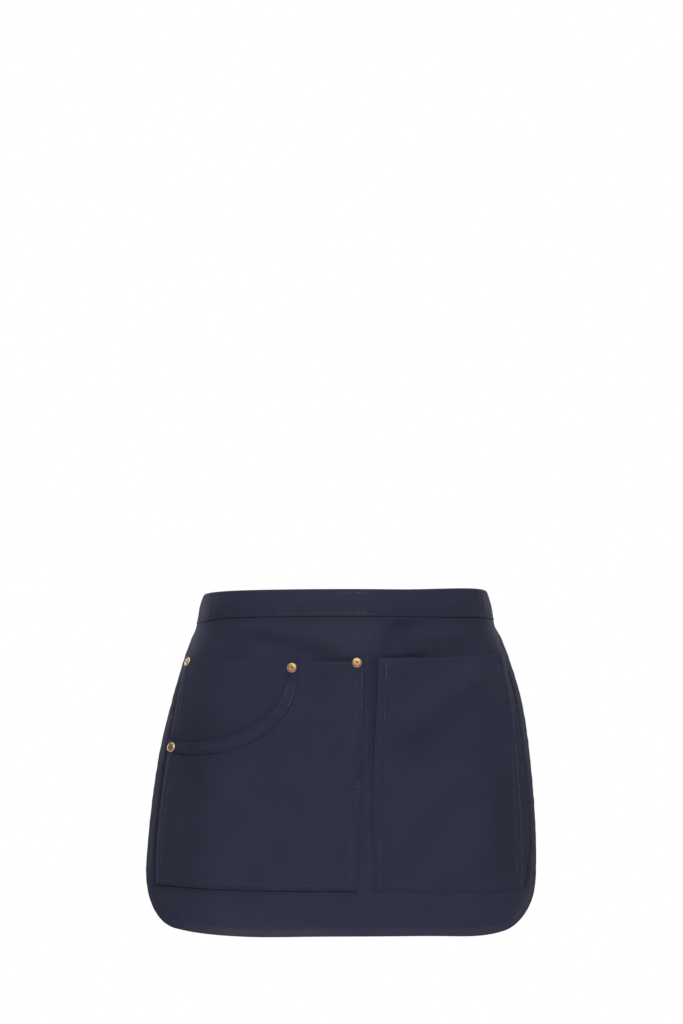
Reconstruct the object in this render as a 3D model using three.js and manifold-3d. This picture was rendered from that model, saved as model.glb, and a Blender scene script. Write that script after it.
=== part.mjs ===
// A waist apron worn round the hips: a skirt panel hung from a looped waistband, with a two-layer
// jeans-style pocket on the left, a plain patch pocket on the right and four brass rivets.
// Millimetres, +Z up, the wearer faces -Y; the origin is the middle of the waist loop at its top edge.
//
// Every cloth piece is drawn flat first. A pattern point has "across", the distance along the cloth from
// the middle of the front (positive to the right), and "drop", the distance along the cloth below the
// waistband's top edge. The worn form then carries each pattern point to its place in space.

import * as THREE from 'three';
import { mergeVertices } from 'three/addons/utils/BufferGeometryUtils.js';
import Module from 'manifold-3d';

const wasm = await Module();
wasm.setup();

// Cloth and clearances
const CLOTH = 1.0;
const GAP = 0.3;
const HEM_WIDTH = 10;
const HEM_STEP = 0.4;

// The skirt panel
const PANEL_HALF = 209;
const PANEL_HALF_TOP = 196;
const PANEL_LENGTH = 344;
const CORNER = { width: 44, leftHeight: 50, rightHeight: 44 };

// Where the hem sags a little below the panel's length
const HEM_SAGS = [
  { across: -85, reach: 45, depth: 1.3 },
  { across: 148, reach: 42, depth: 3.2 },
];

// The waistband
const BAND_HEIGHT = 28;
const BAND_FOLD = 1.2;
const TUCK = 12;
const FOLD_SHOULDER = 8;
const SLOT_SPARE = 2;
const SLOT_SIDE_SPARE = 6;
const BACK_SLOT = 0.2;
const BACK_CLOSING = 14;
const BACK_STATIONS = 12;

// The band's top edge rises towards the hips, most on the right, and is level again at the back.
const BAND_RISE = { left: 0.8, right: 4.5, from: 50, full: 165, level: 330 };

// The pockets: where their edges lie on the pattern
const POCKET_TOP = 70;
const POCKET_BOTTOM = 301;
const LEFT_POCKET = { outer: -186, inner: 17 };
const RIGHT_POCKET = {
  innerTop: 31.5,
  innerBottom: 33.5,
  innerBow: 3.5,
  outerTop: 178.5,
  outerBottom: 189.5,
};

// The left pocket's outer edge bulges towards the hem below its mouth.
const LEFT_EDGE = [
  { drop: 150, across: -186 },
  { drop: 200, across: -188.5 },
  { drop: 250, across: -192 },
  { drop: 280, across: -192.4 },
  { drop: 307, across: -190.6 },
];
const LEFT_EDGE_REACH = 60;

// The pockets' bottom edges: level in the middle, drooping towards the outer corner
const LEFT_BOTTOM = { drop: 300.1, droop: 6.9, power: 7 };
const RIGHT_BOTTOM = { drop: 301, droop: 9.2, power: 2.5 };

// The left top edge sags between its mouth and its inner corner, the right one rises towards its outer end.
const LEFT_TOP_SAG = { depth: 4.4, from: -110, full: -36, release: 4, end: 15 };
const RIGHT_TOP_RISE = { depth: 3.2, from: 0.45, full: 0.85 };
const SEWN_REACH = 26;
const OUTER_EASE = 1.25;
const FOLD_START = 15;
const FOLD_END = 3;

// The curved mouth: a quarter of a rounded oval about the left pocket's outer top corner
const MOUTH = { across: 129.5, down: 90.8, power: 2.4 };
const MOUTH_BAND = { across: 139.7, down: 102.3, power: 2.5 };

// The rivets
const CAP_RADIUS = 5.2;
const CAP_HEIGHT = 2.3;
const SHANK_RADIUS = 1.4;
const BURR_RADIUS = 4;
const BURR_HEIGHT = 1;
const RIVET_SEGMENTS = 12;
const RIVET_HOLD = 8;
const DRILL_LENGTH = 30;

// A cap's dome from its rim to the small nipple in its middle, as shares of its radius and height
const CAP_DOME = [
  { radius: 1, height: 0 },
  { radius: 1, height: 0.3 },
  { radius: 0.82, height: 0.7 },
  { radius: 0.5, height: 0.92 },
  { radius: 0.25, height: 0.86 },
  { radius: 0.17, height: 1 },
  { radius: 0, height: 1.05 },
];

// Grid: wide columns over the flat front, narrow ones where the cloth turns round the hips
const SIDE_START = 130;
const FRONT_COLUMNS = 10;
const SIDE_COLUMNS = 10;
const GATHER_END = 76;
const GATHER_ROWS = 6;
const FALL_ROWS = 11;
const POCKET_ROWS = 12;
const RIGHT_POCKET_ROWS = 16;
const TOP_CROWDING = 1.35;
const MOUTH_STEPS = 28;
const SIDE_CROWDING = 1.3;
const STEEP_TURNS = [0.12, 0.24, 0.36, 0.5, 0.65];
const COLUMN_CLEARANCE = 2;

// The worn form: one oval per drop. "front" is how far its front stands before the origin, "sway" its shift
// to the right, "squareness" the power of the oval (2 is an ellipse).
const SECTIONS = [
  { drop: 0, halfWidth: 149, halfDepth: 97, front: 97, sway: 0, squareness: 2.3 },
  { drop: 28, halfWidth: 153, halfDepth: 96, front: 99, sway: 0.4, squareness: 2.3 },
  { drop: 70, halfWidth: 165.2, halfDepth: 89, front: 104, sway: 0.7, squareness: 2.2 },
  { drop: 120, halfWidth: 177.9, halfDepth: 79, front: 108, sway: 0.8, squareness: 2.1 },
  { drop: 180, halfWidth: 189.5, halfDepth: 71, front: 110, sway: -1.6, squareness: 2 },
  { drop: 260, halfWidth: 197.5, halfDepth: 64, front: 111, sway: -3.8, squareness: 2 },
  { drop: 360, halfWidth: 196.5, halfDepth: 62, front: 112, sway: -6.8, squareness: 2 },
];

// Folds: soft ridges (height above zero) and valleys (below) along a line of the pattern, from one
// [across, drop] to another. "on" says what bulges: the whole front with all that is sewn to it, the panel
// between waistband and pockets, both layers of the left pocket, its outer layer alone, or the right pocket.
const FOLDS = [
  { on: 'front', name: 'left hip', from: [-126, 130], to: [-130, 350], width: 30, height: 4.5 },
  { on: 'front', name: 'right hip', from: [132, 130], to: [136, 350], width: 30, height: 3.5 },
  { on: 'panel', name: 'middle bulge', from: [-6, 66], to: [22, 68], width: 24, height: 6 },
  { on: 'panel', name: 'left ridge', from: [-100, 38], to: [-24, 56], width: 11, height: 3.4 },
  { on: 'panel', name: 'left valley', from: [-88, 50], to: [-16, 67], width: 10, height: -3.2 },
  { on: 'panel', name: 'right valley', from: [58, 34], to: [43, 66], width: 11, height: -4.4 },
  { on: 'panel', name: 'right ridge', from: [112, 46], to: [70, 52], width: 12, height: 3 },
  { on: 'left', name: 'top edge gapes', from: [-32, 74], to: [-4, 74], width: 26, height: 2 },
  { on: 'mouth', name: 'side fold', from: [-172, 205], to: [-172, 290], width: 16, height: 1.6 },
  { on: 'mouth', name: 'mouth gapes', from: [-128, 160], to: [-78, 132], width: 26, height: 3 },
  { on: 'right', name: 'top edge gapes', from: [52, 70], to: [92, 68], width: 24, height: 4 },
  { on: 'right', name: 'upper ridge', from: [122, 96], to: [60, 140], width: 17, height: 7.5 },
  { on: 'right', name: 'lower ridge', from: [104, 196], to: [40, 264], width: 18, height: 7.5 },
  { on: 'right', name: 'corner ridge', from: [140, 262], to: [100, 290], width: 20, height: 4 },
];

const RIVETS = [
  { name: 'rivet_top_left', across: -180.4, drop: 76, over: 'left' },
  { name: 'rivet_top_right', across: 10.5, drop: 75.5, over: 'mouth' },
  { name: 'rivet_mouth_top', across: -54, drop: 80, over: 'band' },
  { name: 'rivet_mouth_side', across: -180.4, drop: 168, over: 'band' },
];

const CLOTH_LOOK = { color: '#33364a', roughness: 0.92, metalness: 0 };
const BRASS_LOOK = { color: '#a5835c', roughness: 0.38, metalness: 1 };

// The worn form, ring by ring
const RING_STEP = 5;
const RING_SAMPLES = 240;
const NUDGE = 3;
const FORM_COLUMNS = ['halfWidth', 'halfDepth', 'front', 'sway', 'squareness'];
const formTable = new THREE.CubicInterpolant(
  SECTIONS.map((row) => row.drop),
  SECTIONS.flatMap((row) => FORM_COLUMNS.map((name) => row[name])),
  FORM_COLUMNS.length,
);

function ringAt(drop) {
  const [halfWidth, halfDepth, front, sway, squareness] = formTable.evaluate(drop);
  const ring = { sway, x: [], y: [], arc: [0] };
  for (let i = 0; i <= RING_SAMPLES; i += 1) {
    const turn = (Math.PI * i) / RING_SAMPLES;
    const forward = Math.cos(turn);
    ring.x.push(halfWidth * Math.abs(Math.sin(turn)) ** (2 / squareness));
    ring.y.push(halfDepth - front - halfDepth * Math.sign(forward) * Math.abs(forward) ** (2 / squareness));
    if (i > 0) {
      ring.arc.push(ring.arc[i - 1] + Math.hypot(ring.x[i] - ring.x[i - 1], ring.y[i] - ring.y[i - 1]));
    }
  }
  ring.half = ring.arc[RING_SAMPLES];
  return ring;
}

const RING_COUNT = Math.ceil(PANEL_LENGTH / RING_STEP) + 2;
const RINGS = Array.from({ length: RING_COUNT }, (_, k) => ringAt(k * RING_STEP));

// Past the panel's edge the loop is shared out evenly, so that both ends meet at the middle of the back.
function arcOnRing(ring, across) {
  const reach = Math.abs(across);
  if (reach <= PANEL_HALF) {
    return reach;
  }
  const share = (reach - PANEL_HALF) / (RINGS[0].half - PANEL_HALF);
  return PANEL_HALF + share * (ring.half - PANEL_HALF);
}

function pointOnRing(ring, across) {
  const arc = Math.min(arcOnRing(ring, across), ring.half);
  let low = 0;
  let high = RING_SAMPLES;
  while (high - low > 1) {
    const middle = (low + high) >> 1;
    if (ring.arc[middle] <= arc) {
      low = middle;
    } else {
      high = middle;
    }
  }
  const part = (arc - ring.arc[low]) / (ring.arc[high] - ring.arc[low]);
  const x = THREE.MathUtils.lerp(ring.x[low], ring.x[high], part);
  const y = THREE.MathUtils.lerp(ring.y[low], ring.y[high], part);
  return [Math.sign(across) * x + ring.sway, y];
}

// A thread of the cloth from the waist down: its slope out and in takes some of its length, so it rises.
const threads = new Map();

function threadAt(across) {
  if (!threads.has(across)) {
    const thread = [];
    let height = 0;
    for (const ring of RINGS) {
      const [x, y] = pointOnRing(ring, across);
      if (thread.length > 0) {
        const last = thread[thread.length - 1];
        height -= Math.sqrt(RING_STEP ** 2 - (x - last.x) ** 2 - (y - last.y) ** 2);
      }
      thread.push(new THREE.Vector3(x, y, height));
    }
    threads.set(across, thread);
  }
  return threads.get(across);
}

function formPoint(across, drop) {
  const thread = threadAt(across);
  const level = Math.max(drop, 0) / RING_STEP;
  const low = Math.min(Math.floor(level), RING_COUNT - 2);
  const point = thread[low].clone().lerp(thread[low + 1], level - low);
  point.z -= Math.min(drop, 0);
  return point;
}

function outwardAt(across, drop) {
  const level = Math.max(drop, 0);
  const sideways = formPoint(across + NUDGE, level).sub(formPoint(across - NUDGE, level));
  const downward = formPoint(across, level + NUDGE).sub(formPoint(across, Math.max(level - NUDGE, 0)));
  return downward.cross(sideways).normalize();
}

// Folds and lifts
function ridge(fold, across, drop) {
  const line = new THREE.Line3(new THREE.Vector3(...fold.from, 0), new THREE.Vector3(...fold.to, 0));
  const spot = new THREE.Vector3(across, drop, 0);
  const away = line.closestPointToPoint(spot, true, new THREE.Vector3()).distanceTo(spot);
  return fold.height * Math.exp(-((away / fold.width) ** 2));
}

function foldsOn(layer, across, drop) {
  const folds = FOLDS.filter((fold) => fold.on === layer);
  return folds.reduce((sum, fold) => sum + ridge(fold, across, drop), 0);
}

function panelFold(across, drop) {
  const { smoothstep } = THREE.MathUtils;
  const clearOfBand = smoothstep(drop, BAND_HEIGHT, BAND_HEIGHT + FOLD_START);
  const clearOfPockets = 1 - smoothstep(drop, POCKET_TOP - FOLD_START, POCKET_TOP - FOLD_END);
  return foldsOn('panel', across, drop) * clearOfBand * clearOfPockets;
}

// Nought on a sewn edge and under a rivet, one well inside the pocket
function looseness(inner, outer, across, drop) {
  const edges = [Math.abs(across - inner), Math.abs(across - outer), Math.max(bottomEdge(across) - drop, 0)];
  const caps = RIVETS.map((rivet) => Math.hypot(across - rivet.across, drop - rivet.drop) - RIVET_HOLD);
  return THREE.MathUtils.smoothstep(Math.min(...edges, ...caps), 0, SEWN_REACH);
}

function leftLift(across, drop) {
  return foldsOn('left', across, drop) * looseness(LEFT_POCKET.inner, leftOuterEdge(drop), across, drop);
}

function mouthLift(across, drop) {
  const loose = looseness(LEFT_POCKET.inner, leftOuterEdge(drop), across, drop);
  return OUTER_EASE * leftLift(across, drop) + foldsOn('mouth', across, drop) * loose;
}

function rightLift(across, drop) {
  return foldsOn('right', across, drop) * looseness(rightInnerEdge(drop), rightOuterEdge(drop), across, drop);
}

// Layers: how far each one's middle stands off the middle of the panel
const LAYER_PITCH = CLOTH + GAP;
const LAYERS = {
  left: (across, drop) => LAYER_PITCH + leftLift(across, drop),
  mouth: (across, drop) => 2 * LAYER_PITCH + mouthLift(across, drop),
  band: (across, drop) => 3 * LAYER_PITCH + mouthLift(across, drop),
  right: (across, drop) => LAYER_PITCH + rightLift(across, drop),
};

function place(across, drop, standOff) {
  const lift = foldsOn('front', across, drop) + panelFold(across, drop) + standOff;
  return formPoint(across, drop).addScaledVector(outwardAt(across, drop), lift);
}

// Outlines of the pieces on the pattern
function bottomEdge(across) {
  const { drop, droop, power } = across <= LEFT_POCKET.inner ? LEFT_BOTTOM : RIGHT_BOTTOM;
  return drop + droop * (Math.abs(across) / Math.abs(LEFT_POCKET.outer)) ** power;
}

function panelBottom(across) {
  const sags = HEM_SAGS.map((sag) => sag.depth * Math.exp(-(((across - sag.across) / sag.reach) ** 2)));
  const length = sags.reduce((sum, sag) => sum + sag, PANEL_LENGTH);
  const height = across < 0 ? CORNER.leftHeight : CORNER.rightHeight;
  const intoCorner = Math.max((Math.abs(across) - PANEL_HALF) / CORNER.width + 1, 0);
  return length - height * (1 - Math.sqrt(1 - intoCorner ** 2));
}

// The panel widens from the waist to the hem: only its sides lean out, the front stays upright.
function panelHalf(drop) {
  return THREE.MathUtils.lerp(PANEL_HALF_TOP, PANEL_HALF, drop / PANEL_LENGTH);
}

function leanOut(across, drop) {
  const reach = Math.abs(across);
  if (reach <= SIDE_START) {
    return across;
  }
  const share = (reach - SIDE_START) / (PANEL_HALF - SIDE_START);
  return Math.sign(across) * THREE.MathUtils.lerp(SIDE_START, panelHalf(drop), share);
}

function leftTop(across) {
  const { depth, from, full, release, end } = LEFT_TOP_SAG;
  const { smoothstep } = THREE.MathUtils;
  return POCKET_TOP + depth * smoothstep(across, from, full) * (1 - smoothstep(across, release, end));
}

function rightTop(across) {
  const along = (across - RIGHT_POCKET.innerTop) / (RIGHT_POCKET.outerTop - RIGHT_POCKET.innerTop);
  const { depth, from, full } = RIGHT_TOP_RISE;
  return POCKET_TOP - depth * THREE.MathUtils.smoothstep(along, from, full);
}

const leftEdgeTable = new THREE.CubicInterpolant(
  LEFT_EDGE.map((row) => row.drop),
  LEFT_EDGE.map((row) => row.across),
  1,
);

function leftOuterEdge(drop) {
  return leftEdgeTable.evaluate(drop)[0];
}

// Spreads the left pocket's columns to its outer edge; those past the spread's reach stay upright.
function toLeftEdge({ across, drop }) {
  const share = THREE.MathUtils.clamp(1 - (across - LEFT_POCKET.outer) / LEFT_EDGE_REACH, 0, 1);
  return { across: across + share * (leftOuterEdge(drop) - LEFT_POCKET.outer), drop };
}

function downThePocket(drop) {
  return (drop - POCKET_TOP) / (POCKET_BOTTOM - POCKET_TOP);
}

function rightInnerEdge(drop) {
  const down = downThePocket(drop);
  const straight = THREE.MathUtils.lerp(RIGHT_POCKET.innerTop, RIGHT_POCKET.innerBottom, down);
  return straight - RIGHT_POCKET.innerBow * Math.sin(Math.PI * down);
}

function rightOuterEdge(drop) {
  return THREE.MathUtils.lerp(RIGHT_POCKET.outerTop, RIGHT_POCKET.outerBottom, downThePocket(drop));
}

// A point of the curved mouth: turn 0 is its upper end, a quarter turn its outer end; a share of 0 lies on
// the mouth's edge, 1 on the far edge of its band.
function mouthPoint(turn, share) {
  const [reach, down, power] = ['across', 'down', 'power'].map(
    (name) => THREE.MathUtils.lerp(MOUTH[name], MOUTH_BAND[name], share),
  );
  return {
    across: LEFT_POCKET.outer + reach * Math.cos(turn) ** (2 / power),
    drop: POCKET_TOP + down * Math.sin(turn) ** (2 / power),
  };
}

function mouthDrop(across) {
  const along = (across - LEFT_POCKET.outer) / MOUTH.across;
  if (along >= 1) {
    return leftTop(across);
  }
  const down = MOUTH.down * (1 - along ** MOUTH.power) ** (1 / MOUTH.power);
  return Math.max(POCKET_TOP + down, leftTop(across));
}

// Values from one end to the other; a crowding above one brings them closer together at the start.
function steps(from, to, count, crowding = 1) {
  return Array.from({ length: count + 1 }, (_, i) => THREE.MathUtils.lerp(from, to, (i / count) ** crowding));
}

// Pattern columns shared by all the layers, so that they turn the hips side by side
function sharedColumns() {
  const front = steps(0, SIDE_START, FRONT_COLUMNS);
  const side = steps(SIDE_START, PANEL_HALF, SIDE_COLUMNS);
  const half = [...front.slice(1), ...side.slice(1)];
  return [...half.map((across) => -across).reverse(), 0, ...half];
}

function columnsBetween(from, to, extra = []) {
  const own = [from, ...extra, to];
  const apart = (across) => own.every((column) => Math.abs(column - across) > COLUMN_CLEARANCE);
  const between = sharedColumns().filter((across) => across > from && across < to && apart(across));
  return [...own, ...between].sort((a, b) => a - b);
}

// A closed shell from a grid of pattern points: a front skin, a back skin and the wall round its border.
function shell(grid, front, back) {
  const columns = grid.length;
  const rows = grid[0].length;
  const positions = [];
  for (const skin of [front, back]) {
    for (const point of grid.flat()) {
      positions.push(...place(point.across, point.drop, skin(point)).toArray());
    }
  }
  const backOf = columns * rows;
  const at = (column, row) => column * rows + row;
  const faces = [];
  const quad = (a, b, c, d) => faces.push(a, b, c, a, c, d);
  for (let j = 0; j + 1 < columns; j += 1) {
    for (let i = 0; i + 1 < rows; i += 1) {
      const [a, b, c, d] = [at(j, i), at(j, i + 1), at(j + 1, i + 1), at(j + 1, i)];
      quad(a, b, c, d);
      quad(backOf + b, backOf + a, backOf + d, backOf + c);
    }
  }
  const border = [];
  for (let i = 0; i + 1 < rows; i += 1) {
    border.push([at(0, i), at(0, i + 1)], [at(columns - 1, i + 1), at(columns - 1, i)]);
  }
  for (let j = 0; j + 1 < columns; j += 1) {
    border.push([at(j, rows - 1), at(j + 1, rows - 1)], [at(j + 1, 0), at(j, 0)]);
  }
  border.forEach(([p, q]) => quad(q, p, backOf + p, backOf + q));
  return meshData(positions, faces);
}

function meshData(positions, faces) {
  const geometry = new THREE.BufferGeometry();
  geometry.setAttribute('position', new THREE.Float32BufferAttribute(positions, 3));
  geometry.setIndex(faces);
  return geometry;
}

function gridOf(columns, dropsOf) {
  return columns.map((across) => dropsOf(across).map((drop) => ({ across, drop })));
}

// A sheet of cloth in one layer
function clothSheet(layer, grid) {
  const middle = LAYERS[layer];
  const front = ({ across, drop }) => middle(across, drop) + CLOTH / 2;
  const back = ({ across, drop }) => middle(across, drop) - CLOTH / 2;
  return shell(grid, front, back);
}

// Joining and cutting
function solidOf(geometry) {
  const { position } = geometry.attributes;
  return new wasm.Manifold(new wasm.Mesh({
    numProp: 3,
    vertProperties: new Float32Array(position.array),
    triVerts: new Uint32Array(geometry.index.array),
  }));
}

function withRivetHoles(geometry) {
  const radius = SHANK_RADIUS + GAP;
  let cloth = solidOf(geometry);
  for (const rivet of RIVETS) {
    const drill = bareGeometry(new THREE.CylinderGeometry(radius, radius, DRILL_LENGTH, RIVET_SEGMENTS));
    cloth = cloth.subtract(solidOf(standOn(drill, rivet)));
  }
  const mesh = cloth.getMesh();
  return meshData(Array.from(mesh.vertProperties), Array.from(mesh.triVerts));
}

function bareGeometry(geometry) {
  geometry.deleteAttribute('uv');
  geometry.deleteAttribute('normal');
  return mergeVertices(geometry, 1e-4);
}

// Turns a shape made round +Y so that +Y points out of the cloth at the rivet's place.
function standOn(geometry, rivet) {
  const outward = outwardAt(rivet.across, rivet.drop);
  geometry.applyQuaternion(new THREE.Quaternion().setFromUnitVectors(new THREE.Vector3(0, 1, 0), outward));
  const foot = place(rivet.across, rivet.drop, 0);
  return geometry.translate(foot.x, foot.y, foot.z);
}

// The pieces
function apronPanel() {
  const top = BAND_HEIGHT - TUCK + GAP;
  const hemTop = BAND_HEIGHT + GAP + HEM_STEP;
  const hemEdge = PANEL_HALF - HEM_WIDTH;
  const hemColumns = [-hemEdge, -hemEdge + HEM_STEP, hemEdge - HEM_STEP, hemEdge];
  const dropsOf = (across) => {
    const bottom = panelBottom(across);
    const gathered = steps(hemTop, GATHER_END, GATHER_ROWS);
    const fallen = steps(GATHER_END, bottom - HEM_WIDTH - HEM_STEP, FALL_ROWS);
    return [top, hemTop - HEM_STEP, ...gathered, ...fallen.slice(1), bottom - HEM_WIDTH, bottom];
  };
  const halfStep = HEM_STEP / 2;
  const inHem = (across, drop) => {
    const atSide = Math.abs(across) > hemEdge - halfStep;
    const atBottom = drop > panelBottom(across) - HEM_WIDTH - halfStep;
    return drop > hemTop - halfStep && (atSide || atBottom);
  };
  const upright = gridOf(columnsBetween(-PANEL_HALF, PANEL_HALF, hemColumns), dropsOf);
  const grid = upright.map((column) => column.map(({ across, drop }) => {
    const turning = inHem(across, drop) ? CLOTH : 0;
    return { across: leanOut(across, drop), drop, turning };
  }));
  return withRivetHoles(shell(grid, () => CLOTH / 2, ({ turning }) => -CLOTH / 2 - turning));
}

// The band's section is a folded strip: a thin fold on top, two walls that take the panel between them.
function bandSection(across) {
  const slotEnd = panelHalf(BAND_HEIGHT) + SLOT_SIDE_SPARE;
  const pastPanel = THREE.MathUtils.smoothstep(Math.abs(across), slotEnd, slotEnd + BACK_CLOSING);
  const slot = THREE.MathUtils.lerp(CLOTH / 2 + GAP, BACK_SLOT, pastPanel);
  const wall = slot + CLOTH;
  const slotTop = BAND_HEIGHT - TUCK;
  const outside = [
    [slot, slotTop],
    [slot, BAND_HEIGHT],
    [wall, BAND_HEIGHT],
    [wall, slotTop - SLOT_SPARE],
    [BAND_FOLD, FOLD_SHOULDER],
    [BAND_FOLD, BAND_FOLD],
    [BAND_FOLD / 2, 0],
  ];
  const inside = outside.map(([standOff, drop]) => [-standOff, drop]).reverse();
  return [...outside, ...inside];
}

function risenDrop(across, drop) {
  const reach = Math.abs(across);
  const { left, right, from, full, level } = BAND_RISE;
  const { smoothstep } = THREE.MathUtils;
  const most = across < 0 ? left : right;
  const rise = most * smoothstep(reach, from, full) * (1 - smoothstep(reach, full, level));
  return drop - rise * (1 - drop / BAND_HEIGHT);
}

function waistband() {
  const backHalf = steps(PANEL_HALF, RINGS[0].half, BACK_STATIONS).slice(1);
  const otherHalf = backHalf.slice(0, -1).map((across) => -across).reverse();
  const stations = [...sharedColumns(), ...backHalf, ...otherHalf];
  const sections = stations.map((across) => bandSection(across).map(
    ([standOff, drop]) => place(across, risenDrop(across, drop), standOff).toArray(),
  ));
  const sides = sections[0].length;
  const faces = [];
  for (let k = 0; k < stations.length; k += 1) {
    const here = k * sides;
    const next = ((k + 1) % stations.length) * sides;
    for (let m = 0; m < sides; m += 1) {
      const n = (m + 1) % sides;
      faces.push(here + m, next + n, here + n, here + m, next + m, next + n);
    }
  }
  return meshData(sections.flat(2), faces);
}

function leftPocketInner() {
  const columns = columnsBetween(LEFT_POCKET.outer, LEFT_POCKET.inner);
  const dropsOf = (across) => steps(leftTop(across), bottomEdge(across), POCKET_ROWS, TOP_CROWDING);
  const grid = gridOf(columns, dropsOf).map((column) => column.map(toLeftEdge));
  return withRivetHoles(clothSheet('left', grid));
}

function leftPocketOuter() {
  const steep = STEEP_TURNS.map((turn) => mouthPoint(turn, 0).across);
  const columns = columnsBetween(LEFT_POCKET.outer, LEFT_POCKET.inner, steep);
  const dropsOf = (across) => steps(mouthDrop(across), bottomEdge(across), POCKET_ROWS, TOP_CROWDING);
  const grid = gridOf(columns, dropsOf).map((column) => column.map(toLeftEdge));
  return withRivetHoles(clothSheet('mouth', grid));
}

function mouthBand() {
  const shares = steps(0, 1, 2);
  const grid = steps(Math.PI / 2, 0, MOUTH_STEPS, SIDE_CROWDING).map((turn) => shares.map((share) => {
    const { across, drop } = mouthPoint(turn, share);
    return { across, drop: Math.max(drop, leftTop(across)) };
  }));
  return withRivetHoles(clothSheet('band', grid));
}

function rightPocket() {
  const { innerTop, outerBottom } = RIGHT_POCKET;
  const dropsOf = (across) => steps(rightTop(across), bottomEdge(across), RIGHT_POCKET_ROWS);
  const upright = gridOf(columnsBetween(innerTop, outerBottom), dropsOf);
  const slanted = upright.map((column) => column.map(({ across, drop }) => {
    const share = (across - innerTop) / (outerBottom - innerTop);
    return { across: THREE.MathUtils.lerp(rightInnerEdge(drop), rightOuterEdge(drop), share), drop };
  }));
  return clothSheet('right', slanted);
}

function rivetShape(rivet) {
  const seat = LAYERS[rivet.over](rivet.across, rivet.drop) + CLOTH / 2 + GAP;
  const burrTop = -CLOTH / 2 - GAP;
  const profile = [
    [0, burrTop - BURR_HEIGHT],
    [BURR_RADIUS, burrTop - BURR_HEIGHT],
    [BURR_RADIUS, burrTop],
    [SHANK_RADIUS, burrTop],
    [SHANK_RADIUS, seat],
    ...CAP_DOME.map(({ radius, height }) => [CAP_RADIUS * radius, seat + CAP_HEIGHT * height]),
  ].map(([radius, height]) => new THREE.Vector2(radius, height));
  return standOn(bareGeometry(new THREE.LatheGeometry(profile, RIVET_SEGMENTS)), rivet);
}

// The assembly
const apron = new THREE.Group();
apron.name = 'waist_apron';

function addPiece(name, geometry, look) {
  geometry.computeVertexNormals();
  const mesh = new THREE.Mesh(geometry, new THREE.MeshStandardMaterial(look));
  mesh.name = name;
  apron.add(mesh);
}

addPiece('apron_panel', apronPanel(), CLOTH_LOOK);
addPiece('waistband', waistband(), CLOTH_LOOK);
addPiece('pocket_left_inner', leftPocketInner(), CLOTH_LOOK);
addPiece('pocket_left_outer', leftPocketOuter(), CLOTH_LOOK);
addPiece('mouth_band', mouthBand(), CLOTH_LOOK);
addPiece('pocket_right', rightPocket(), CLOTH_LOOK);
RIVETS.forEach((rivet) => addPiece(rivet.name, rivetShape(rivet), BRASS_LOOK));

export default apron;
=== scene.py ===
import math
from functools import partial

import bpy
import numpy as np
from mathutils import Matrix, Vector


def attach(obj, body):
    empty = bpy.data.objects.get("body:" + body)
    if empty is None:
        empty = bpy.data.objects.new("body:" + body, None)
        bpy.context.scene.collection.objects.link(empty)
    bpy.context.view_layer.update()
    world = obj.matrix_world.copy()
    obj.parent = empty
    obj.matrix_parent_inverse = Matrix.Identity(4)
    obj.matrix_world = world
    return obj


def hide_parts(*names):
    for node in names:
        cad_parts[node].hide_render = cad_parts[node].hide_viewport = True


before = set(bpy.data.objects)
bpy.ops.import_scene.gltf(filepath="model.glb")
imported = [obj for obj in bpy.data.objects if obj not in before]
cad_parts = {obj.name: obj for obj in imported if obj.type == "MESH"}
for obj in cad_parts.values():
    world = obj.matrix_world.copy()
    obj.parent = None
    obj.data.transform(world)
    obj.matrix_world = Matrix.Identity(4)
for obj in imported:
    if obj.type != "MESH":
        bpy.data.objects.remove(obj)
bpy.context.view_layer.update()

# A cloth point is given by its place on the flat pattern, in millimetres: "across" is the distance along the
# cloth from the middle of the front (positive to the right), "drop" the distance below the waistband's top.
# The worn form carries the pattern into space, and each layer stands off it along its outward direction.

MM = 0.001
CLOTH = 1.0
GAP = 0.3
LAYER_PITCH = CLOTH + GAP

PANEL_HALF, PANEL_HALF_TOP = 209, 196
PANEL_LENGTH = 344
PANEL_TOP = 17
CORNER_WIDTH = 44
SIDE_START = 130
HEM_WIDTH = 10
HEM_ROW = 8.5
BOTTOM_FLARE, FLARE_REACH = 4, 12

# Of the panel's left side and of its right side
CORNER_HEIGHTS, SIDE_FLARES, CORNER_FLARES = (50, 44), (1.6, 2.8), (0.2, 2.4)

# Where the hem sags a little below the panel's length: across, reach, depth
HEM_SAGS = [(-85, 45, 1.3), (148, 42, 3.2)]

BAND_HEIGHT = 28
BAND_ROWS = (3.5, 24.2)

POCKET_TOP = 70
POCKET_BOTTOM = 301
LEFT_OUTER, LEFT_INNER = -186, 17
RIGHT_INNER_TOP, RIGHT_INNER_BOTTOM, RIGHT_INNER_BOW = 31.5, 33.5, 3.5
RIGHT_OUTER_TOP, RIGHT_OUTER_BOTTOM = 178.5, 189.5
LEFT_SAG, LEFT_SAG_START, LEFT_SAG_END = 4.4, (-110, -36), (4, 15)
RIGHT_RISE, RIGHT_RISE_SPAN = 3.2, (0.45, 0.85)
SEWN_REACH = 26
OUTER_EASE = 1.25
FOLD_START = 14
FOLD_FADE = (74, 130)
POCKET_ROWS = (2.0, 8.6)
TOP_HEM_ROW = 23

# The pockets' bottom edges: drop in the middle, droop at the outer corner, power of the droop
LEFT_BOTTOM = (300.1, 6.9, 7)
RIGHT_BOTTOM = (301, 9.2, 2.5)

# The left pocket's outer edge bulges towards the hem below its mouth: drop, across
LEFT_EDGE = np.array([(150, -186), (200, -188.5), (250, -192), (280, -192.4), (307, -190.6)], float)

# The curved mouth's edge and the far edge of its band, ovals about the pocket's corner: reach, depth, power
MOUTH_EDGE = (129.5, 90.8, 2.4)
MOUTH_FAR = (139.7, 102.3, 2.5)
STRIP_WIDTH = 12

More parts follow.
